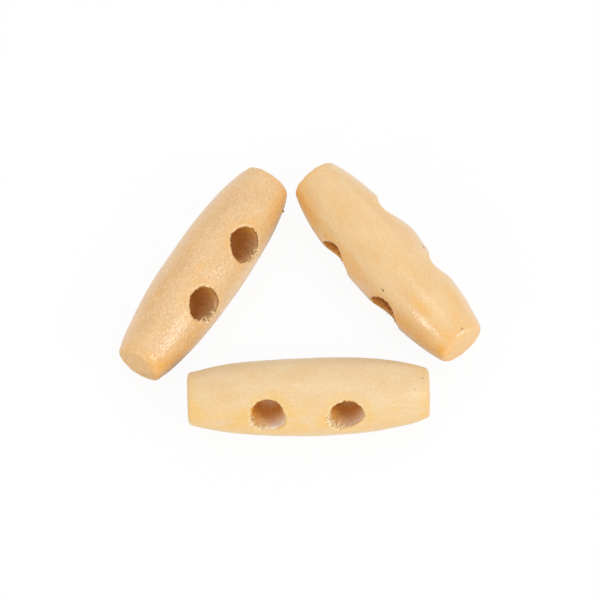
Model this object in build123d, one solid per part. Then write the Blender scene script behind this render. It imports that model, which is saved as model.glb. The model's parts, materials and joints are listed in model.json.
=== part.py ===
from build123d import *
import os
from math import asin, degrees

# A set of three turned wooden toggle buttons lying loose on a flat surface.
# All sizes are in millimetres. X runs to the right, Y away from the viewer and Z up.
# Each toggle is one piece of wood: a barrel with flat ends and two cross holes
# for the cord or thread that sews it to a garment.

# The barrel, shared by all three
END_DIAMETER = 6.2  # across a flat end, before its edge is rounded
END_ROUND = 0.7  # rounding of the end edges
MIDDLE_ARC_RADIUS = 92.0  # long, shallow arc over the barrel's middle

# The two cross holes
HOLE_DIAMETER = 4.2
HOLE_PITCH = 9.7  # from one hole's axis to the other's
MIDDLE_MARGIN = 0.9  # how far the middle arc runs on past the rounded mouths

# Lathe work varies a little from piece to piece: length, largest diameter and where it lies,
# and tumbling has rounded the mouths of the holes over more on one than on another
LEFT_LENGTH = 30.0
LEFT_BELLY = 9.6
LEFT_MOUTH_ROUND = 0.4
RIGHT_LENGTH = 29.6
RIGHT_BELLY = 9.75
RIGHT_MOUTH_ROUND = 0.6
FRONT_LENGTH = 30.0
FRONT_BELLY = 9.75
FRONT_BELLY_SHIFT = 0.8  # the front toggle is thickest a little to the right of its middle
FRONT_MOUTH_ROUND = 0.5

# How each toggle has come to lie: turned about Z, and rolled about its own length
LEFT_YAW = 58.0
LEFT_ROLL = 44.5
RIGHT_YAW = -51.2
RIGHT_ROLL = 97.5
FRONT_YAW = 1.6
FRONT_ROLL = 57.0

# Where they lie, from the gaps between them
TOP_GAP = 0.9  # between the two upper ends, along X
RIGHT_LEAD = 0.65  # the right toggle lies this much further back than the left one
FRONT_SHIFT = 0.9  # the front toggle lies this much right of the middle of the other two
FRONT_REACH = 0.95  # its back edge reaches this far past the lower ends, into the space between


def barrel(length, belly, mouth_round, belly_shift=0.0):
    """A solid of revolution along X: a shallow middle arc that runs into a tighter one at each end."""
    half_length = length / 2
    end_radius = END_DIAMETER / 2
    middle_reach = HOLE_PITCH / 2 + HOLE_DIAMETER / 2 + mouth_round + MIDDLE_MARGIN
    arc_centre = (belly_shift, belly / 2 - MIDDLE_ARC_RADIUS)
    arc_half_angle = degrees(asin(middle_reach / MIDDLE_ARC_RADIUS))
    middle = CenterArc(arc_centre, MIDDLE_ARC_RADIUS, 90 - arc_half_angle, 2 * arc_half_angle)
    right_arc = TangentArc(middle @ 0, (half_length, end_radius), tangent=-(middle % 0))
    left_arc = TangentArc(middle @ 1, (-half_length, end_radius), tangent=middle % 1)
    closing = Polyline(left_arc @ 1, (-half_length, 0), (half_length, 0), right_arc @ 1)
    profile = make_face([middle, right_arc, left_arc, closing])
    blank = revolve(profile, Axis.X)
    ends = blank.faces().filter_by(GeomType.PLANE)
    return fillet(ends.edges(), END_ROUND)


def drill(blank, mouth_round):
    """Two round cross holes along Z, their mouths rounded over."""
    pin = Cylinder(HOLE_DIAMETER / 2, 2 * END_DIAMETER + HOLE_PITCH)
    pins = [Pos(x, 0, 0) * pin for x in (-HOLE_PITCH / 2, HOLE_PITCH / 2)]
    drilled = blank - pins
    mouths = new_edges(blank, *pins, combined=drilled).filter_by(GeomType.LINE, reverse=True)
    return fillet(mouths, mouth_round)


def turned_toggle(length, belly, mouth_round, belly_shift=0.0):
    """One whole toggle, its length along X and its holes along Z."""
    return drill(barrel(length, belly, mouth_round, belly_shift), mouth_round)


def lying(toggle, belly, yaw, roll):
    """Roll a toggle about its own length, turn it, and rest its belly on the ground."""
    return Pos(0, 0, belly / 2) * Rot(0, 0, yaw) * Rot(roll, 0, 0) * toggle


def laid_out():
    """The three toggles, the upper two leaning together and the third across their lower ends."""
    left = turned_toggle(LEFT_LENGTH, LEFT_BELLY, LEFT_MOUTH_ROUND)
    left = lying(left, LEFT_BELLY, LEFT_YAW, LEFT_ROLL)
    right = turned_toggle(RIGHT_LENGTH, RIGHT_BELLY, RIGHT_MOUTH_ROUND)
    right = lying(right, RIGHT_BELLY, RIGHT_YAW, RIGHT_ROLL)
    front = turned_toggle(FRONT_LENGTH, FRONT_BELLY, FRONT_MOUTH_ROUND, FRONT_BELLY_SHIFT)
    front = lying(front, FRONT_BELLY, FRONT_YAW, FRONT_ROLL)
    left_box = left.bounding_box()
    right_box = right.bounding_box()
    front_box = front.bounding_box()
    left = Pos(-TOP_GAP / 2 - left_box.max.X, -left_box.max.Y, 0) * left
    right = Pos(TOP_GAP / 2 - right_box.min.X, RIGHT_LEAD - right_box.max.Y, 0) * right
    middle_x = (left.bounding_box().min.X + right.bounding_box().max.X) / 2
    lower_y = (left.bounding_box().min.Y + right.bounding_box().min.Y) / 2
    front = Pos(middle_x + FRONT_SHIFT, lower_y + FRONT_REACH - front_box.max.Y, 0) * front
    return {"left_toggle": left, "right_toggle": right, "front_toggle": front}


def centred(pieces):
    """Move the set so that the origin lies on the ground below the middle of its box."""
    box = Compound(list(pieces.values())).bounding_box()
    shift = Pos(-box.center().X, -box.center().Y, 0)
    return {name: shift * piece for name, piece in pieces.items()}


os.makedirs("parts", exist_ok=True)
for name, piece in centred(laid_out()).items():
    export_step(piece, f"parts/{name}.step")
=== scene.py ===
# Three turned wooden toggle buttons, lying loose on white.
# Each toggle's own frame has X along its length and Z out of the two mouths that the camera sees.
# Sizes are in millimetres, apart from what Blender itself is given, which is in metres.
import json
import math
import random

import bmesh
import bpy
import numpy as np
from mathutils import Matrix, Vector, noise


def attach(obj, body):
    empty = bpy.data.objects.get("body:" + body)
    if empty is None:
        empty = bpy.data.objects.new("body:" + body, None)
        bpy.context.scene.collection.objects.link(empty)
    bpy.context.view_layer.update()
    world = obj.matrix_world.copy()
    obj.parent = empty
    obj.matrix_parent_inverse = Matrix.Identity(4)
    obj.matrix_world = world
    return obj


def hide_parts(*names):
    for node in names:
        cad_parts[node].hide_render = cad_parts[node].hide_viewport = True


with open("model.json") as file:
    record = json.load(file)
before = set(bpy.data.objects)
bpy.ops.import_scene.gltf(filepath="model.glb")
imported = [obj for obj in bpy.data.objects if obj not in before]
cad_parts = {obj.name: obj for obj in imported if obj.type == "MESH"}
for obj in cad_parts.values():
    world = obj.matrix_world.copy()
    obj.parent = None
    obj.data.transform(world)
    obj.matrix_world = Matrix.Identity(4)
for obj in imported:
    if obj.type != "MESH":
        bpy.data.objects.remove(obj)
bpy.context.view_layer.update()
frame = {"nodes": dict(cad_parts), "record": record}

MM = 0.001

# The camera, from the photograph's view
CAMERA_ELEVATION = math.radians(65.0)
CAMERA_DISTANCE = 700.0
CAMERA_TARGET = (-0.01, 2.01, 0.0)
PIXELS_PER_MM = 7.94  # at the target, in a picture 600 pixels wide
PICTURE_WIDTH = 600
TO_CAMERA = Vector((0, -math.cos(CAMERA_ELEVATION), math.sin(CAMERA_ELEVATION)))

# The floor and the lamps, in metres
PAPER_HALF = 0.6  # of the paper's width
PAPER_PLAIN = 0.92  # the share of it that the camera sees as plain white, and the rest keeps the shadow
LAMP_DISTANCE = 0.5

# A toggle's own X runs from its first hole to its second
HOLE_ORDER = {
    "left_toggle": ("lower", "upper"),
    "right_toggle": ("upper", "lower"),
    "front_toggle": ("left", "right"),
}

# The net that the wood's surface is drawn with
SKIN_NET = 0.14  # between two points of the skin
RIM_BAND = (1.75, 3.1)  # round a hole's axis, where the net is twice as fine
RIM_DEPTH = 1.5  # and so far down the hole
PROFILE_STEP = 0.3  # between the places where the barrel's radius is read

# The wood's tones in sRGB: left toggle, right toggle, front toggle
TONES = {
    "pale": ("EDC087", "F3CD94", "EECFA0"),  # clean wood, which is most of it
    "late": ("E1B071", "EDB974", "E8BD80"),  # the warmer part of the year rings
    "light": ("F8D5A4", "FAD7A1", "F5D8AB"),  # fibres
    "dim": ("D3A974", "E1B981", "DCBD8F"),  # pores
    "amber": ("F2B04A", "F8B64E", "F2C26E"),  # varnish that has pooled
    "brown": ("CE9B5D", "E0A860", "C48E50"),  # stains in the wood
    "painted_side_tone": ("F9DEAE", "DCC09A", "EBD6B3"),  # painted light and shade along the toggles' outlines and sides, lighter on the left toggle and greyer on the others
    "end": ("D2A46C", "F0C692", "EEC99B"),  # end grain
    "ring": ("F5DCA8", "FFEBC4", "FBE3AC"),  # painted highlight round a mouth, and along the right toggle's rounded end
    "bore_lit": ("F0C898", "F8C364", "FFF6E6"),  # painted light on the lit side of a hole's wall, near its mouth
    "bore_deep": ("E4A852", "D4883A", "F2B858"),  # the raw wood down a hole, in painted shade on its other side and further down
    "burnt_and_shaded": ("84501F", "94541A", "9C5E24"),  # wood that the drill has burnt, and the painted shade under a hole's rim
    "torn_pale": ("FFE2AE", "F0BE78", "F8E2B8"),  # torn fibres, and the gaps between them
    "torn_dark": ("A06A38", "B0641E", "C0905A"),
}
# Dirt in pits, painted shade along the left toggle's lower-right outline, and darker spots beside the right
# toggle's mouths
DIRT_AND_SHADE = "54300F"

# How each toggle was finished, in the same order
FINISH = {
    "mottle": (0.6, 0.55, 0.58),  # how strongly the year rings show
    "grain": (0.48, 0.3, 0.34),  # how strongly fibres and pores show
    "pooled": (0.62, 0.33, 0.25),  # how much amber lies all over the skin
    "rim_burn_and_shade": (0.85, 0.2, 0.65),  # how dark the band under the holes' rims is: drill burn and painted shade
    "scored": (0.2, 0.5, 0.12),  # how burnt the drill's scores down the holes are
    "gloss": (1.0, 0.8, 0.08),  # how much of the varnish still shines
    "haze": (0.22, 0.17, 0.2),  # how soft its highlights are
    "ripple": (0.11, 0.035, 0.04),  # how tall its ripples stand, in millimetres
}
VARNISH_IOR = 1.7  # over a varnish's usual 1.5, to match the photograph's highlights
SKIN_ROUGHNESS = 0.45
RAW_ROUGHNESS = 0.85
FIBRE_RELIEF = 0.06  # how tall the fibres stand under the varnish

# The relief's three sizes, along and across the grain, with their detail and share of the height: long
# fibres, short fibres and the varnish's own ripple. Real fibres are about a third as wide, too fine to show.
RELIEF = ((2.4, 0.25, 2.0, 0.15), (0.45, 0.35, 1.0, 1.0), (0.3, 0.2, 0.0, 0.3))

# What every toggle has at its mouths and ends: strength, distance and width
MOUTH_HIGHLIGHT = (0.8, 0.40, 0.08)  # the painted highlight round a mouth, from the hole's edge
MOUTH_AMBER = (0.5, 0.6, 0.6)  # varnish round the mouth, from the hole's edge
END_AMBER = (0.25, 0.7, 0.6)  # varnish round the end's edge, from the end
END_REACH = {"left_toggle": 0.4, "right_toggle": 0.8, "front_toggle": 0.4}  # end grain, past that edge
SIDE_TONE_EVERYWHERE = 0.1  # of the whole skin
END_MATT = 0.75  # how far end grain is from varnished to raw
RAW_FROM = 0.14  # below the skin, where a hole's raw wood begins
RAW_FULL = 0.08  # and how much further down all of it is raw
RAW_REACH = 0.45  # past the hole's edge, where its rounded lip ends
RAW_WAVE = (0.05, 0.35)  # how uneven that line is: the height and the size
RAW_CREEP = 0.35  # how much further down it lies where varnish has pooled
SKIN_DEEP = 0.2  # below the skin, down to where the painted highlight round a mouth still shows

# The side of each hole whose wall is painted as lit, as an angle from +X towards +Y, and how deep down
LIT_SIDE = {"left_toggle": -85, "right_toggle": -90, "front_toggle": -52}
LIT_WIDTH = 23.8  # degrees to each side that are fully lit
LIT_FADE = 68  # and over how many more degrees that fades
LIT_DEPTH = {"left_toggle": 3.7, "right_toggle": 1.0, "front_toggle": 4.0}
LIT_FROM = 1.2  # the share of that depth at which nothing is left of it

# Stains by toggle, with painted light and shade among them: the tone, the place along X, the angle round it
# from the seen mouths towards +Y in degrees, the reach along and round in millimetres, and the strength
STAINS_AND_PAINTED_LIGHT = {
    "left_toggle": (
        ("amber", -14.4, 2, 0.8, 1.9, 0.8),
        ("amber", -14.9, -32, 0.9, 1.3, 1.0),
        ("amber", -12.5, -30, 2.0, 1.5, 0.9),
        ("amber", -9.0, -30, 2.6, 1.1, 0.7),
        ("amber", 2.4, -24, 1.3, 1.0, 0.35),
        ("amber", 11.8, -14, 2.6, 1.3, 0.9),
        ("amber", 8.5, -30, 1.8, 1.1, 0.7),
        ("amber", -2.4, -16, 1.0, 0.9, 0.3),
        ("amber", 0.0, 180, 9.0, 3.0, 0.4),
        ("amber", 0.0, 85, 18.0, 2.4, 0.25),
        # Painted shade along the lower-right outline
        ("dark", -12.6, -59, 2.4, 1.5, 0.6),
        ("dark", 9.6, -59, 2.6, 1.5, 0.6),
        ("brown", 9.5, 62, 1.6, 1.0, 0.6),
        ("brown", 5.2, 61, 2.6, 1.1, 0.5),
        ("brown", -2.3, 64, 2.4, 1.1, 0.5),
        ("brown", -6.0, 75, 2.2, 1.2, 0.6),
        ("brown", -10.1, 72, 2.2, 1.1, 0.6),
        # Painted light along the outlines and the lower-right side
        ("painted_side_tone", 0.0, 120, 20.0, 1.0, 0.5),
        ("painted_side_tone", 0.0, -62, 20.0, 1.3, 0.7),
        ("painted_side_tone", 3.0, -50, 9.0, 2.6, 0.8),
    ),
    "right_toggle": (
        ("amber", -13.0, 14, 2.0, 2.2, 1.0),
        ("amber", -9.2, 22, 2.6, 1.2, 0.8),
        ("amber", -1.2, 26, 1.6, 1.0, 0.9),
        ("amber", 9.5, 20, 3.0, 1.3, 1.0),
        ("amber", 0.0, 12, 18.0, 1.7, 0.35),
        ("amber", 14.2, 26, 1.0, 2.6, 0.7),
        ("amber", 8.8, 72, 2.8, 0.55, 0.8),
        ("amber", 12.9, 68, 1.2, 0.6, 0.5),
        # Darker spots beside the mouths
        ("dark", 5.2, -32, 0.6, 0.5, 0.3),
        ("dark", -5.0, -32, 0.6, 0.5, 0.25),
        # Painted highlights along the rounded edge of the right toggle's end
        ("ring", 14.44, 91, 0.12, 0.3, 1.5),
        ("ring", 14.50, 100, 0.12, 0.3, 1.5),
        ("ring", 14.56, 110, 0.12, 0.3, 1.5),
        ("ring", 14.66, 121, 0.12, 0.3, 1.0),
        ("amber", 10.3, 128, 1.6, 1.0, 0.6),
        ("amber", 0.0, 200, 9.0, 3.0, 0.4),
        # Painted shade along the outlines
        ("painted_side_tone", 0.0, 171, 20.0, 1.7, 1.0),
        ("painted_side_tone", 0.0, -9, 20.0, 1.4, 1.0),
    ),
    "front_toggle": (
        ("amber", -7.6, -4, 0.7, 2.0, 0.7),
        ("amber", -4.2, 37, 0.6, 0.5, 0.7),
        ("amber", 7.25, -6, 0.4, 0.9, 1.0),
        ("amber", 6.8, -18, 0.5, 0.7, 1.0),
        ("amber", 5.6, -31, 1.3, 0.4, 1.0),
        ("amber", 7.0, -12, 0.35, 0.8, 1.2),
        ("amber", 6.2, -26, 0.9, 0.35, 1.0),
        ("amber", -8.0, 2, 5.0, 2.4, 0.3),
        ("amber", 0.0, 0, 4.0, 2.2, 0.3),
        ("amber", -2.75, -12, 0.35, 0.9, 0.6),
        ("amber", -14.3, 20, 0.6, 2.4, 0.6),
        ("amber", -13.6, 2, 0.8, 1.0, 0.7),
        ("amber", 14.2, -10, 0.6, 2.0, 0.6),
        ("amber", 10.4, 12, 0.9, 0.9, 0.6),
        ("amber", 0.0, 170, 10.0, 3.0, 0.4),
        ("amber", 0.0, -18, 18.0, 2.4, 0.7),
        ("amber", -8.0, -32, 8.0, 1.6, 0.35),
        ("brown", -9.6, -20, 0.7, 0.5, 0.6),
        # Painted light and shade along the outlines, paler and greyer than the wood
        ("painted_side_tone", 0.0, 120, 20.0, 2.4, 1.0),
        ("painted_side_tone", 0.0, -58, 20.0, 1.5, 1.0),
        ("painted_side_tone", 8.0, 20, 5.0, 2.0, 0.2),
    ),
}

# Pits and crumbs: a point on the skin, the radius, the depth (a crumb's is negative) and the dirt in it
PITS = {
    "left_toggle": (
        ((12.35, -2.45, 2.9), 0.26, -0.28, 1.0), ((-15.0, -1.73, -0.83), 0.16, 0.14, 0.9),
        ((-15.0, -1.2, -1.6), 0.14, 0.08, 0.5), ((-15.0, -0.3, 0.9), 0.14, 0.06, 0.3)),
    "right_toggle": (
        ((3.75, 3.33, 3.45), 0.13, 0.28, 1.0), ((2.25, 2.15, -4.35), 0.2, 0.12, 1.0),
        ((14.1, 3.21, -0.85), 0.12, 0.16, 0.6), ((14.22, 3.28, -0.2), 0.11, 0.12, 0.2),
        ((14.41, 3.16, -0.6), 0.14, -0.16, 0.0), ((14.42, 3.22, -0.05), 0.12, -0.12, 0.0),
        ((14.52, 2.88, -1.28), 0.14, -0.13, 0.0), ((14.66, 2.55, -1.6), 0.14, -0.12, 0.0),
        ((14.76, 2.16, -1.82), 0.13, -0.10, 0.0), ((14.8, 2.24, -1.07), 0.14, -0.10, 0.0)),
    "front_toggle": (((14.3, 3.2, 1.3), 0.12, 0.16, 1.0), ((13.3, 2.5, 2.8), 0.10, 0.1, 0.6)),
}

# Each hole as the drill left it, by toggle and by hole (-1 first, 1 second): how far its seen mouth has
# wandered along X and Y, how ragged the whole rim is, and places where the rim is torn or closed in, each
# with the angle round the hole from +X towards +Y, its width in degrees, how far it reaches out, and how
# much raw fibre shows in it
MOUTHS = {
    ("left_toggle", 1): ((0.0, -0.05), 0.14, (
        (-45, 35, -0.12, 0.0), (120, 30, -0.12, 0.0), (45, 40, -0.12, 0.0), (80, 25, -0.13, 0.0),
        (8, 25, 0.14, 0.0), (162, 28, 0.14, 0.0), (-178, 30, 0.26, 0.0), (-138, 14, -0.16, 0.0),
        (-142, 9, 0.12, 0.0), (-92, 22, -0.26, 1.0))),
    ("left_toggle", -1): ((0.0, -0.1), 0.14, (
        (125, 38, -0.26, 0.0), (85, 30, -0.25, 0.0), (-45, 35, -0.06, 0.0), (-40, 12, 0.12, 0.0),
        (45, 14, 0.06, 0.0), (155, 12, 0.10, 0.0), (-176, 26, 0.16, 0.0), (-145, 18, -0.42, 0.0),
        (-134, 9, 0.10, 0.5), (-100, 20, -0.24, 1.0))),
    ("right_toggle", 1): ((0.0, 0.0), 0.12, (
        (90, 50, -0.34, 0.0), (0, 28, 0.42, 0.0), (-32, 22, 0.22, 0.0), (180, 28, 0.20, 0.0),
        (120, 20, 0.10, 0.6), (60, 12, 0.08, 0.5), (-90, 55, 0.0, 1.0))),
    ("right_toggle", -1): ((0.0, 0.0), 0.12, (
        (90, 50, -0.50, 0.0), (0, 28, 0.34, 0.0), (180, 28, 0.25, 0.0), (130, 20, 0.08, 0.4),
        (-90, 50, 0.0, 0.5))),
    ("front_toggle", 1): ((0.0, -0.15), 0.10, (
        (88, 32, -0.50, 0.0), (80, 60, -0.28, 0.0), (145, 18, 0.14, 0.0), (35, 18, 0.08, 0.0),
        (-58, 40, -0.72, 0.0), (40, 40, -0.12, 0.0), (100, 5, 0.24, 0.0), (70, 8, 0.14, 0.0),
        (-160, 40, 0.18, 1.0), (-116, 18, 0.10, 1.0))),
    ("front_toggle", -1): ((0.0, 0.0), 0.10, (
        (90, 34, -0.32, 0.0), (145, 18, 0.14, 0.0), (155, 15, 0.14, 0.0), (20, 34, -0.22, 0.0),
        (-150, 36, 0.10, 0.8), (-112, 14, 0.05, 1.0), (125, 5, 0.14, 0.0))),
}
FAR_MOUTH = ((0.0, 0.0), 0.10, ())  # each of the mouths that face away
FRAY_DEPTH = 0.6  # how far down a hole its rim is ragged
TORN_DEPTH = 1.1  # and torn
RIM_FADE = 0.8  # within the rim's band, over which that fades into the skin
RAGGED_DOWN = 0.25  # how much slower the raggedness changes down the hole than round it
WALL_REACH = 0.6  # past the hole's radius, where its wall ends
WALL_ROUGH = (0.03, 0.12, 0.24)  # how rough the wall is, how much more where torn, and the size

# The short splinters that stand up in the torn places
FIBRES_PER_DEGREE = 0.9  # of a rim, where it is wholly torn
FIBRE_DEEP = (0.2, 1.1)  # where they root, down the hole
FIBRE_LONG = (0.15, 0.5)
FIBRE_THICK = (0.02, 0.05)
FIBRE_BEND = 0.06
FIBRE_IN_WALL = 0.06  # how deep their roots sit in the hole's wall
LOOSE_BEND = Vector((0, 0.12, 0))  # of the long ones

# Long splinters that hang loose in a mouth or lie on the skin: root, tip and thickness
LOOSE_FIBRES = {
    "left_toggle": (
        ((-7.0, -0.9, 4.55), (-5.8, -1.2, 4.4), 0.08), ((-6.2, -2.1, 4.25), (-5.75, -1.1, 4.4), 0.08),
        ((-7.15, -0.2, 4.65), (-7.0, -1.0, 4.5), 0.07), ((-4.5, -2.1, 4.2), (-4.9, -1.6, 4.0), 0.06),
        ((5.6, -1.98, 4.2), (5.0, -1.6, 4.1), 0.08), ((4.6, -2.1, 4.2), (4.2, -1.7, 4.1), 0.07),
        ((5.9, -1.8, 4.0), (6.1, -1.6, 3.3), 0.05)),
    "right_toggle": (
        ((4.2, -1.7, 4.1), (5.4, -1.9, 3.6), 0.06), ((-4.6, -1.9, 4.0), (-3.9, -1.8, 3.5), 0.05),
        ((14.42, 3.18, 0.0), (14.5, 3.08, -0.6), 0.06), ((14.5, 3.05, -0.5), (14.64, 2.6, -1.5), 0.06),
        ((14.2, 3.22, -0.3), (14.3, 3.05, -1.0), 0.05)),
    "front_toggle": (
        ((3.3, -1.5, 4.4), (3.0, -0.7, 4.1), 0.07), ((3.9, -1.95, 4.2), (4.6, -1.85, 3.9), 0.07),
        ((3.6, -1.75, 4.3), (3.9, -1.3, 3.6), 0.06), ((-6.2, -1.7, 4.2), (-5.6, -1.8, 3.7), 0.06)),
}

# Where hand sanding has left a barrel fuller or leaner: the place along X, the angle round it as for the
# stains, the reach along and round in millimetres, and how far the skin stands out there
UNEVEN = {
    "left_toggle": (
        (6.2, 120, 4.5, 3.0, 0.10), (-4.5, 120, 1.8, 3.0, 0.08), (-10.5, 120, 1.6, 3.0, -0.08),
        (-11.5, -60, 4.0, 3.0, -0.12), (-14.7, -60, 0.8, 1.6, -0.22), (14.7, 120, 0.8, 1.6, -0.12),
        (14.7, -60, 0.8, 1.6, -0.16)),
    "right_toggle": (
        (-0.7, 171, 1.7, 2.6, 0.27), (3.0, 171, 1.2, 2.0, -0.06), (13.8, 171, 1.0, 2.0, 0.10),
        (-2.7, -9, 0.7, 1.5, -0.10), (-12.8, -9, 2.6, 3.0, -0.12), (11.0, -9, 3.6, 3.0, -0.08),
        (-14.5, -9, 0.8, 1.6, -0.08), (14.6, -9, 0.7, 1.5, -0.05), (5.4, -26, 1.0, 1.0, 0.12)),
    "front_toggle": (
        (-1.0, 122, 5.2, 3.5, -0.12), (11.0, 122, 2.6, 3.0, -0.11), (-11.0, 122, 3.0, 3.0, 0.06),
        (-1.0, -58, 6.0, 3.0, 0.06), (11.3, -58, 2.9, 3.0, -0.17), (-14.6, 122, 0.7, 1.5, 0.15),
        (14.6, -58, 0.8, 1.5, -0.12)),
}
UNEVEN_FADE = 0.5  # how far down a hole that still shows
LATHE_WAVE = (0.04, 3.0)  # the slight unevenness of the whole barrel: its height and its size
LATHE_FADE = 0.1  # how far down a hole that still shows

# The sanded ends
END_DOME = (0.05, 2.9)  # how far they bulge, and out to which radius
END_WAVE = (0.06, 0.9)  # how uneven they are: the height and the size
END_DEPTH = 0.3  # what counts as the end, along X
END_SHIFT = {"left_toggle": (-0.12, 0.0), "right_toggle": (0.0, 0.0), "front_toggle": (0.18, 0.10)}
END_SHIFT_FROM = 13.0  # from the middle, where the barrel begins to be drawn in or out for that


def colour(hex_code):
    """An sRGB hex code as a linear colour."""
    out = []
    for i in (0, 2, 4):
        c = int(hex_code[i:i + 2], 16) / 255
        out.append(c / 12.92 if c <= 0.04045 else ((c + 0.055) / 1.055) ** 2.4)
    return (*out, 1.0)


def node(tree, kind, inputs, **settings):
    """Add a node with its settings, and set or link its inputs."""
    made = tree.nodes.new(kind)
    for name, value in settings.items():
        setattr(made, name, value)
    for key, value in inputs.items():
        if isinstance(value, bpy.types.NodeSocket):
            tree.links.new(value, made.inputs[key])
        else:
            made.inputs[key].default_value = value
    return made


def new_material(name):
    """A material with an empty node tree."""
    made = bpy.data.materials.new(name)
    made.use_nodes = True
    made.node_tree.nodes.clear()
    return made, made.node_tree


def limewood(name, tones, finish):
    """Pale close-grained limewood, turned and tumbled in thin varnish: a satin skin, blotchy more than
    streaked, amber where the varnish has gathered, and raw, warmer wood in the drilled holes, with painted
    light and shade down the holes, round the mouths and along the outlines."""
    made, tree = new_material(name)
    own = node(tree, "ShaderNodeAttribute", {}, attribute_name="own_mm").outputs["Vector"]
    # How much of each tone lies at a point, as the mesh keeps it
    marks = {}
    for mark in ("amber", "brown", "painted_side_tone", "end", "ring", "bore", "bore_depth", "bore_lit", "torn", "dull",
                 "dark", "sliver"):
        marks[mark] = node(tree, "ShaderNodeAttribute", {}, attribute_name=mark).outputs["Fac"]

    def layer(below, tone, size, detail, begins, full, most, kept_to=None):
        """One tone over what lies below, in a cloud of the given size in millimetres along, across and
        down, where the noise passes from where it begins to where it is full."""
        along, across, down = size
        # Each cloud is taken from another place in the noise
        stretched = node(tree, "ShaderNodeMapping", {
            "Vector": own, "Location": (along, across, detail), "Scale": (1 / along, 1 / across, 1 / down)})
        cloud = node(tree, "ShaderNodeTexNoise", {
            "Vector": stretched.outputs[0], "Scale": 1.0, "Detail": detail})
        share = node(tree, "ShaderNodeMapRange", {
            "Value": cloud.outputs[0], "From Min": begins, "From Max": full, "To Max": most},
            interpolation_type="SMOOTHSTEP").outputs[0]
        if kept_to:
            share = node(tree, "ShaderNodeMath", {0: share, 1: marks[kept_to]},
                         operation="MULTIPLY").outputs[0]
        return node(tree, "ShaderNodeMix", {0: share, 6: below, 7: colour(tones[tone])},
                    data_type="RGBA").outputs[2]

    # The fibres and pores are drawn about three times as coarse as limewood's, so that they show
    wood = colour(tones["pale"])
    wood = layer(wood, "late", (5.0, 2.2, 2.2), 3.0, 0.38, 0.68, finish["mottle"])
    wood = layer(wood, "late", (2.4, 0.8, 0.8), 2.0, 0.42, 0.72, 0.3 * finish["mottle"])
    wood = layer(wood, "end", (0.5, 0.5, 0.5), 3.0, 0.10, 0.70, 1.0, "end")
    wood = layer(wood, "brown", (1.5, 0.8, 0.8), 3.0, 0.25, 0.65, 1.0, "brown")
    wood = layer(wood, "amber", (3.4, 2.0, 2.0), 2.0, 0.50, 0.76, finish["pooled"])
    wood = layer(wood, "amber", (2.6, 1.5, 1.5), 1.5, 0.15, 0.60, 1.0, "amber")
    # Painted light and shade along the outlines and sides
    wood = layer(wood, "painted_side_tone", (3.0, 1.8, 1.8), 3.0, 0.12, 0.56, 0.95, "painted_side_tone")
    # A painted highlight round each mouth
    wood = layer(wood, "ring", (0.5, 0.5, 0.5), 2.0, 0.38, 0.62, 0.9, "ring")
    wood = layer(wood, "light", (0.35, 0.25, 0.25), 2.0, 0.46, 0.66, finish["grain"])
    wood = layer(wood, "dim", (0.4, 0.25, 0.25), 1.0, 0.52, 0.70, finish["grain"])
    # Down a hole the raw wood has painted light on one side and painted shade on the other and further down,
    # under a dark band at the rim of drill burn and painted shade, and the drill's lips have scored it all
    # the way down
    inside = node(tree, "ShaderNodeMix", {
        0: marks["bore_lit"], 6: colour(tones["bore_deep"]), 7: colour(tones["bore_lit"])},
        data_type="RGBA").outputs[2]
    inside = layer(inside, "burnt_and_shaded", (0.3, 0.3, 1.2), 3.0, 0.45, 0.70, finish["scored"])
    # A dark band just under each hole's rim: drill burn and painted shade
    rim = node(tree, "ShaderNodeMapRange", {
        "Value": marks["bore_depth"], "From Min": 0.55, "From Max": 0.2, "To Max": finish["rim_burn_and_shade"]},
        interpolation_type="SMOOTHSTEP").outputs[0]
    inside = node(tree, "ShaderNodeMix", {0: rim, 6: inside, 7: colour(tones["burnt_and_shaded"])},
                  data_type="RGBA").outputs[2]
    wood = node(tree, "ShaderNodeMix", {0: marks["bore"], 6: wood, 7: inside},
                data_type="RGBA").outputs[2]
    # Torn fibres show as pale and brown flecks of about 0.3 mm, loose splinters are pale all over, and dirt
    # in a pit is dark, as are the painted shade along the left toggle's lower-right outline and the spots
    # beside the right toggle's mouths
    fleck = node(tree, "ShaderNodeTexNoise", {"Vector": own, "Scale": 3.6, "Detail": 2.0}).outputs[0]
    pale_share = node(tree, "ShaderNodeMapRange", {
        "Value": fleck, "From Min": 0.38, "From Max": 0.52}).outputs[0]
    pale_share = node(tree, "ShaderNodeMath", {0: pale_share, 1: marks["sliver"]},
                      operation="MAXIMUM").outputs[0]
    torn = node(tree, "ShaderNodeMix", {
        0: pale_share, 6: colour(tones["torn_dark"]), 7: colour(tones["torn_pale"])},
        data_type="RGBA").outputs[2]
    wood = node(tree, "ShaderNodeMix", {0: marks["torn"], 6: wood, 7: torn}, data_type="RGBA").outputs[2]
    wood = node(tree, "ShaderNodeMix", {0: marks["dark"], 6: wood, 7: colour(DIRT_AND_SHADE)},
                data_type="RGBA").outputs[2]
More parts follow.
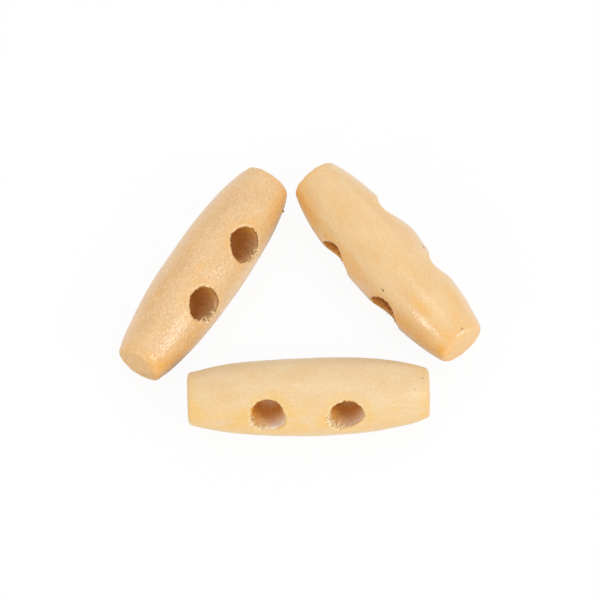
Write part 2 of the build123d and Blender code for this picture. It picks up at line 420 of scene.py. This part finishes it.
    # Two reliefs: the fibres' under the varnish, and the varnish's own, which adds the last size
    heights = [0.0]
    for along, across, detail, tall in RELIEF:
        stretched = node(tree, "ShaderNodeMapping", {
            "Vector": own, "Scale": (1 / along, 1 / across, 1 / across)})
        cloud = node(tree, "ShaderNodeTexNoise", {
            "Vector": stretched.outputs[0], "Scale": 1.0, "Detail": detail})
        heights.append(node(tree, "ShaderNodeMath", {0: cloud.outputs[0], 1: tall, 2: heights[-1]},
                            operation="MULTIPLY_ADD").outputs[0])
    fibres = node(tree, "ShaderNodeBump", {
        "Strength": 1.0, "Distance": FIBRE_RELIEF * MM, "Height": heights[-2]})
    ripple = node(tree, "ShaderNodeBump", {
        "Strength": 1.0, "Distance": finish["ripple"] * MM, "Height": heights[-1]})
    rough = node(tree, "ShaderNodeMapRange", {
        "Value": marks["dull"], "To Min": SKIN_ROUGHNESS, "To Max": RAW_ROUGHNESS}).outputs[0]
    varnish = node(tree, "ShaderNodeMapRange", {
        "Value": marks["dull"], "To Min": finish["gloss"], "To Max": 0.0}).outputs[0]
    shader = node(tree, "ShaderNodeBsdfPrincipled", {
        "Base Color": wood, "Roughness": rough, "Normal": fibres.outputs[0], "Specular IOR Level": 0.3,
        "Coat Weight": varnish, "Coat Roughness": finish["haze"], "Coat IOR": VARNISH_IOR,
        "Coat Normal": ripple.outputs[0]})
    node(tree, "ShaderNodeOutputMaterial", {"Surface": shader.outputs[0]})
    return made


WOODS = {}
for column, toggle_name in enumerate(HOLE_ORDER):
    WOODS[toggle_name] = limewood(
        toggle_name.replace("toggle", "limewood"),
        {tone: codes[column] for tone, codes in TONES.items()},
        {what: amounts[column] for what, amounts in FINISH.items()})


def placement(name):
    """A toggle's own frame as a matrix to the world's metres, where its holes are along its X, and
    their radius."""
    mounts = {mount["name"]: mount for mount in frame["record"]["mounts"]}
    first, second = (mounts[f"{name}_{hole}_hole"] for hole in HOLE_ORDER[name])
    start, end = Vector(first["pos_m"]), Vector(second["pos_m"])
    along = (end - start).normalized()
    out = Vector(first["axis"])
    if out.dot(TO_CAMERA) < 0:
        out.negate()
    turn = Matrix((along, out.cross(along), out)).transposed().to_4x4()
    place = Matrix.Translation((start + end) / 2) @ turn @ Matrix.Scale(MM, 4)
    return place, (end - start).length / 2 / MM, first["dims"]["r_mm"]


def even_skin(name, place):
    """The solid's surface as an even net of small faces, in the toggle's own millimetres."""
    mesh = frame["nodes"][name].data.copy()
    mesh.transform(place.inverted())
    piece = bpy.data.objects.new("carved_" + name, mesh)
    bpy.context.scene.collection.objects.link(piece)
    net = piece.modifiers.new("net", "REMESH")
    net.mode = "VOXEL"
    net.voxel_size = SKIN_NET
    evaluated = piece.evaluated_get(bpy.context.evaluated_depsgraph_get())
    piece.data = bpy.data.meshes.new_from_object(evaluated)
    piece.modifiers.clear()
    return piece


def points_of(mesh):
    """A mesh's points, one to a row."""
    flat = np.empty(len(mesh.vertices) * 3, np.float32)
    mesh.vertices.foreach_get("co", flat)
    return flat.reshape(-1, 3).astype(float)


def mark_points(mesh, mark, shares):
    """Keep a number for each point, which the wood reads."""
    mesh.attributes.new(mark, "FLOAT", "POINT").data.foreach_set("value", shares.astype(np.float32))


def mark_places(mesh):
    """Keep each point's place in its toggle's own frame, which the wood's grain follows."""
    flat = points_of(mesh).astype(np.float32).ravel()
    mesh.attributes.new("own_mm", "FLOAT_VECTOR", "POINT").data.foreach_set("vector", flat)


def barrel_radius(own):
    """The barrel's radius at each point's place along X, as read from the net itself."""
    reach = np.hypot(own[:, 1], own[:, 2])
    bins = np.round(own[:, 0] / PROFILE_STEP).astype(int)
    first = bins.min()
    widest = np.zeros(bins.max() - first + 1)
    np.maximum.at(widest, bins - first, reach)
    places = (np.arange(len(widest)) + first) * PROFILE_STEP
    return np.interp(own[:, 0], places, widest)


def below_skin(own, radius):
    """How far down the holes each point lies below the barrel's full surface."""
    full = np.sqrt(np.maximum(radius ** 2 - own[:, 1] ** 2, 0))
    return np.maximum(full - np.abs(own[:, 2]), 0)


def from_end(own):
    """How far each point lies from the nearer end."""
    return np.abs(own[:, 0]).max() - np.abs(own[:, 0])


def soft_noise(own, size, seed):
    """Smooth noise from about -1 to 1 over a set of points, with features of a given size."""
    shift = Vector((seed, 2.3 * seed, -1.7 * seed))
    return np.array([noise.noise(Vector(p) / size + shift) for p in own])


def bell(distance, strength, middle, width):
    """A strength that falls off to both sides of a distance."""
    return strength * np.exp(-((distance - middle) / width) ** 2)


def near_spot(own, radius, x, angle, along, round_it):
    """How near each point lies to a spot on the skin: 1 there, and less and less over the given reach."""
    out = radius[np.argmin(np.abs(own[:, 0] - x))]
    turn = math.radians(angle)
    apart = np.hypot(own[:, 1] - out * math.sin(turn), own[:, 2] - out * math.cos(turn))
    return np.exp(-((own[:, 0] - x) / along) ** 2 - (apart / round_it) ** 2)


def degrees_apart(angles, middle):
    """How far angles, in radians, lie from one in degrees, in degrees."""
    return np.abs((np.degrees(angles) - middle + 180) % 360 - 180)


def finer_net(mesh, half_pitch, pits):
    """Halve the faces round the mouths, and then at the pits."""
    for at_mouths in (True, False):
        bm = bmesh.new()
        bm.from_mesh(mesh)
        middles = np.array([(e.verts[0].co + e.verts[1].co) / 2 for e in bm.edges])
        if at_mouths:
            deep = below_skin(middles, barrel_radius(middles))
            around = np.hypot(np.abs(middles[:, 0]) - half_pitch, middles[:, 1])
            chosen = (around > RIM_BAND[0]) & (around < RIM_BAND[1]) & (deep < RIM_DEPTH)
        else:
            chosen = np.zeros(len(middles), bool)
            for spot, size, _, _ in pits:
                chosen |= np.linalg.norm(middles - spot, axis=1) < 3 * size + SKIN_NET
        bm.edges.ensure_lookup_table()
        edges = [bm.edges[i] for i in np.nonzero(chosen)[0]]
        bmesh.ops.subdivide_edges(bm, edges=edges, cuts=1, use_grid_fill=True)
        bm.to_mesh(mesh)
        bm.free()


def tone_marks(name, own, radius, half_pitch, hole_radius):
    """How much of each tone lies at each point: what all toggles have at their mouths and ends, among it a
    painted highlight round each mouth, this one's own stains and painted light and shade, and the raw wood in
    its holes, painted lit on one side."""
    deep = below_skin(own, radius)
    around = np.hypot(np.abs(own[:, 0]) - half_pitch, own[:, 1])
    to_end = from_end(own)
    marks = {mark: np.zeros(len(own)) for mark in ("brown", "dark")}
    # Painted light on one side of each hole's wall, fading further down
    turned = np.arctan2(own[:, 1], np.abs(own[:, 0]) - half_pitch)
    turned = np.where(own[:, 0] > 0, turned, math.pi - turned)
    off_side = degrees_apart(turned, LIT_SIDE[name])
    lit_share = np.clip((LIT_WIDTH + LIT_FADE - off_side) / LIT_FADE, 0, 1)
    marks["bore_lit"] = lit_share * np.clip(LIT_FROM - deep / LIT_DEPTH[name], 0, 1)
    # A painted highlight round each mouth, on the skin only
    marks["ring"] = bell(around - hole_radius, *MOUTH_HIGHLIGHT) * (deep < SKIN_DEEP)
    marks["amber"] = bell(around - hole_radius, *MOUTH_AMBER) + bell(to_end, *END_AMBER)
    marks["end"] = np.clip((END_REACH[name] - to_end) / END_REACH[name], 0, 1)
    # A little of the sides' painted light and shade over the whole skin
    marks["painted_side_tone"] = np.full(len(own), SIDE_TONE_EVERYWHERE)
    for mark, x, angle, along, round_it, strength in STAINS_AND_PAINTED_LIGHT[name]:
        marks[mark] += strength * near_spot(own, radius, x, angle, along, round_it)
    # A hole's wall and the inner half of its rounded rim are raw, unless varnish has gathered there
    at_hole = around < hole_radius + RAW_REACH
    pooled = np.clip(marks["amber"] - 0.5, 0, 1)
    edge = deep + RAW_WAVE[0] * soft_noise(own, RAW_WAVE[1], seed=5.0) - RAW_CREEP * pooled
    marks["bore"] = np.clip((edge - RAW_FROM) / RAW_FULL, 0, 1) * at_hole
    marks["bore_depth"] = deep * at_hole
    return marks


def ragged_rims(name, own, radius, half_pitch, hole_radius):
    """Tear and close in the mouths' rims as the drill left them. Gives how torn each point is."""
    torn = np.zeros(len(own))
    before = own.copy()
    for hole in (-1, 1):
        for side in (-1, 1):
            wander, ragged, places = MOUTHS[name, hole] if side > 0 else FAR_MOUTH
            dx = before[:, 0] - hole * half_pitch
            around = np.hypot(dx, before[:, 1])
            deep = below_skin(before, radius)
            near = (around < RIM_BAND[1]) & (before[:, 2] * side > 0)
            chosen = np.nonzero(near)[0]
            part, dx, around, deep = before[chosen], dx[chosen], around[chosen], deep[chosen]
            angle = np.arctan2(part[:, 1], dx)
            to_skin = np.clip((RIM_BAND[1] - around) / RIM_FADE, 0, 1)
            at_rim = np.exp(-(deep / FRAY_DEPTH) ** 2)
            ring = np.column_stack([np.cos(angle), np.sin(angle), RAGGED_DOWN * deep])
            # Each mouth has its own seed, and wide waves with finer ones among them
            seed = 3.1 * hole + 7.7 * side + len(name)
            out = ragged * (0.8 * soft_noise(ring, 0.3, seed) + soft_noise(ring, 0.15, seed + 20))
            fray = np.zeros(len(part))
            for middle, width, reach, fibrous in places:
                apart = np.exp(-(degrees_apart(angle, middle) / width) ** 2)
                out += reach * apart
                fray = np.maximum(fray, fibrous * apart)
            to_wall = hole_radius + WALL_REACH - around
            at_wall = np.clip(deep / 0.15, 0, 1) * np.clip(to_wall / 0.4, 0, 1)
            rough = (WALL_ROUGH[0] + WALL_ROUGH[1] * fray) * soft_noise(part, WALL_ROUGH[2], seed + 40)
            scale = (around + out * at_rim * to_skin + rough * at_wall) / np.maximum(around, 0.01)
            leaning = to_skin * np.abs(part[:, 2]) / radius[chosen]
            own[chosen, 0] = hole * half_pitch + dx * scale + wander[0] * leaning
            own[chosen, 1] = part[:, 1] * scale + wander[1] * leaning
            # A rim that moves up or down the barrel's round keeps to its skin
            lift = (np.sqrt(np.maximum(radius[chosen] ** 2 - own[chosen, 1] ** 2, 0))
                    - np.sqrt(np.maximum(radius[chosen] ** 2 - part[:, 1] ** 2, 0)))
            own[chosen, 2] += side * lift * at_rim
            inward = np.clip(to_wall / 0.3, 0, 1) * np.exp(-(deep / TORN_DEPTH) ** 2)
            torn[chosen] = np.maximum(torn[chosen], fray * inward)
    return torn


def stand_out(name, own, turned, radius, marks):
    """How far each point stands out from the barrel as it was turned: the lathe's and the sanding's
    unevenness, the domed ends, pits and crumbs. A pit's dirt is added to the marks."""
    deep = below_skin(turned, radius)
    lathe = soft_noise(own, LATHE_WAVE[1], seed=11.0)
    push = LATHE_WAVE[0] * lathe * np.clip(1 - deep / LATHE_FADE, 0, 1)
    on_end = np.clip((END_DEPTH - from_end(turned)) / END_DEPTH, 0, 1)
    reach = np.hypot(turned[:, 1], turned[:, 2])
    dome = END_DOME[0] * np.clip(1 - (reach / END_DOME[1]) ** 2, 0, 1)
    push += on_end * (dome + END_WAVE[0] * soft_noise(own, END_WAVE[1], seed=4.0))
    on_skin = np.clip(1 - deep / UNEVEN_FADE, 0, 1)
    for x, angle, along, round_it, fuller in UNEVEN[name]:
        push += fuller * near_spot(turned, radius, x, angle, along, round_it) * on_skin
    for spot, size, depth, dirt in PITS[name]:
        near = np.exp(-(np.linalg.norm(own - spot, axis=1) / size) ** 2)
        push -= depth * near
        marks["dark"] = np.maximum(marks["dark"], dirt * near)
    return push


def fibre(bm, root, tip, thickness, bend):
    """A tapering splinter of wood, three-sided, from its root to its tip."""
    along = (tip - root).normalized()
    side = along.orthogonal().normalized()
    rings = []
    for step in (0.0, 0.35, 0.7):
        centre = root.lerp(tip, step) + bend * math.sin(math.pi * step)
        wide = thickness * (1 - 0.6 * step)
        rings.append([bm.verts.new(centre + wide * (Matrix.Rotation(turn, 3, along) @ side))
                      for turn in (0.0, 2.1, 4.2)])
    point = bm.verts.new(tip)
    bm.faces.new(rings[0])
    for low, high in zip(rings, rings[1:]):
        for i in range(3):
            bm.faces.new((low[i], low[i - 2], high[i - 2], high[i]))
    for i in range(3):
        bm.faces.new((rings[-1][i], rings[-1][i - 2], point))


def torn_fibres(name, place, half_pitch, hole_radius, rim_height):
    """The splinters in the torn parts of a toggle's seen mouths, and its loose ones, as one piece."""
    draw = random.Random(name)
    up = Vector((0, 0, 1))
    bm = bmesh.new()
    for hole in (-1, 1):
        for middle, width, _, fibrous in MOUTHS[name, hole][2]:
            for _ in range(round(FIBRES_PER_DEGREE * width * fibrous)):
                angle = math.radians(middle + draw.uniform(-1, 1) * width)
                deep = draw.uniform(*FIBRE_DEEP)
                out = Vector((math.cos(angle), math.sin(angle), 0))
                root = Vector((hole * half_pitch, 0, rim_height - deep)) + out * (hole_radius + FIBRE_IN_WALL)
                lean = (-out * draw.uniform(0.2, 0.9) + up * draw.uniform(-0.2, 0.5)
                        + up.cross(out) * draw.uniform(-0.6, 0.6)).normalized()
                long = draw.uniform(*FIBRE_LONG)
                bend = up.cross(out) * draw.uniform(-FIBRE_BEND, FIBRE_BEND)
                fibre(bm, root, root + lean * long, draw.uniform(*FIBRE_THICK), bend)
    first_loose = len(bm.verts)
    for root, tip, thickness in LOOSE_FIBRES[name]:
        fibre(bm, Vector(root), Vector(tip), thickness, LOOSE_BEND)
    mesh = bpy.data.meshes.new(name + "_fibres")
    bm.to_mesh(mesh)
    bm.free()
    mark_places(mesh)
    mark_points(mesh, "torn", np.ones(len(mesh.vertices)))
    mark_points(mesh, "sliver", np.arange(len(mesh.vertices)) >= first_loose)
    mesh.transform(place)
    mesh.materials.append(WOODS[name])
    piece = bpy.data.objects.new(name.replace("toggle", "torn_fibres"), mesh)
    bpy.context.scene.collection.objects.link(piece)
    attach(piece, "root")


def dress(name):
    """Carve one toggle's surface from its solid, mark where each tone lies, and put it in place."""
    place, half_pitch, hole_radius = placement(name)
    piece = even_skin(name, place)
    mesh = piece.data
    finer_net(mesh, half_pitch, PITS[name])
    own = points_of(mesh)
    turned = own.copy()
    radius = barrel_radius(own)
    marks = tone_marks(name, own, radius, half_pitch, hole_radius)
    marks["torn"] = ragged_rims(name, own, radius, half_pitch, hole_radius)
    marks["dull"] = np.maximum(np.maximum(marks["bore"], marks["torn"]), END_MATT * marks["end"])
    outward = np.empty(len(own) * 3, np.float32)
    mesh.vertices.foreach_get("normal", outward)
    own += outward.reshape(-1, 3) * stand_out(name, own, turned, radius, marks)[:, None]
    end_part = np.abs(turned[:, 0]).max() - END_SHIFT_FROM
    for end, shift in zip((-1, 1), END_SHIFT[name]):
        past = np.clip((end * own[:, 0] - END_SHIFT_FROM) / end_part, 0, 1)
        own[:, 0] += shift * past ** 2
    mesh.vertices.foreach_set("co", own.astype(np.float32).ravel())
    mark_places(mesh)
    for mark, shares in marks.items():
        mark_points(mesh, mark, shares if mark == "bore_depth" else np.clip(shares, 0, 1))
    mesh.transform(place)
    mesh.shade_smooth()
    mesh.materials.clear()
    mesh.materials.append(WOODS[name])
    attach(piece, "root")
    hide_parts(name)
    at_holes = np.abs(np.abs(own[:, 0]) - half_pitch) < 1.0
    rim_height = math.sqrt(radius[at_holes].max() ** 2 - hole_radius ** 2)
    torn_fibres(name, place, half_pitch, hole_radius, rim_height)


for toggle_name in HOLE_ORDER:
    dress(toggle_name)


def white_floor():
    """Matt white paper: the camera sees it as plain white, and it keeps the toggles' soft shadow."""
    made, tree = new_material("white_paper")
    paper = node(tree, "ShaderNodeBsdfDiffuse", {"Color": colour("FCFCFC")})
    plain = node(tree, "ShaderNodeEmission", {"Color": (1.0, 1.0, 1.0, 1.0), "Strength": 1.0})
    seen = node(tree, "ShaderNodeLightPath", {}).outputs["Is Camera Ray"]
    share = node(tree, "ShaderNodeMath", {0: seen, 1: PAPER_PLAIN}, operation="MULTIPLY").outputs[0]
    mixed = node(tree, "ShaderNodeMixShader", {0: share, 1: paper.outputs[0], 2: plain.outputs[0]})
    node(tree, "ShaderNodeOutputMaterial", {"Surface": mixed.outputs[0]})
    half = PAPER_HALF
    corners = [(-half, -half, 0), (half, -half, 0), (half, half, 0), (-half, half, 0)]
    mesh = bpy.data.meshes.new("floor")
    mesh.from_pydata(corners, [], [(0, 1, 2, 3)])
    mesh.materials.append(made)
    floor = bpy.data.objects.new("floor", mesh)
    bpy.context.scene.collection.objects.link(floor)


def white_tent(strength):
    """The white room round the toggles, which the camera sees as plain white."""
    world = bpy.data.worlds.new("white_tent")
    bpy.context.scene.world = world
    world.use_nodes = True
    tree = world.node_tree
    tree.nodes.clear()
    seen = node(tree, "ShaderNodeLightPath", {}).outputs["Is Camera Ray"]
    level = node(tree, "ShaderNodeMapRange", {
        "Value": seen, "To Min": strength, "To Max": 1.0}).outputs[0]
    sky = node(tree, "ShaderNodeBackground", {"Color": (1.0, 1.0, 1.0, 1.0), "Strength": level})
    node(tree, "ShaderNodeOutputWorld", {"Surface": sky.outputs[0]})


def softbox(name, direction, size, power):
    """A round softbox that is aimed at the middle of the set, with its size in metres and its watts."""
    lamp = bpy.data.lights.new(name, "AREA")
    lamp.shape = "DISK"
    lamp.size = size
    lamp.energy = power
    thing = bpy.data.objects.new(name, lamp)
    thing.location = Vector(direction).normalized() * LAMP_DISTANCE
    thing.rotation_euler = Vector(direction).to_track_quat("Z", "Y").to_euler()
    bpy.context.scene.collection.objects.link(thing)


def camera():
    """A long lens, far enough away to show the set as the photograph does."""
    data = bpy.data.cameras.new("camera")
    data.sensor_width = 36.0
    data.lens = PIXELS_PER_MM * CAMERA_DISTANCE * data.sensor_width / PICTURE_WIDTH
    data.clip_start = 0.05
    thing = bpy.data.objects.new("camera", data)
    thing.location = (Vector(CAMERA_TARGET) + TO_CAMERA * CAMERA_DISTANCE) * MM
    thing.rotation_euler = (math.pi / 2 - CAMERA_ELEVATION, 0, 0)
    bpy.context.scene.collection.objects.link(thing)
    bpy.context.scene.camera = thing


white_floor()
white_tent(strength=0.765)
softbox("left_softbox", (-0.65, -0.58, 0.50), size=0.13, power=0.24)
softbox("right_softbox", (0.62, -0.42, 0.70), size=0.20, power=0.60)
softbox("top_softbox", (0.0, 0.03, 1.0), size=0.16, power=0.10)
softbox("back_softbox", (0.0, 0.80, 0.60), size=0.50, power=0.14)
camera()
bpy.context.scene.view_settings.view_transform = "Standard"
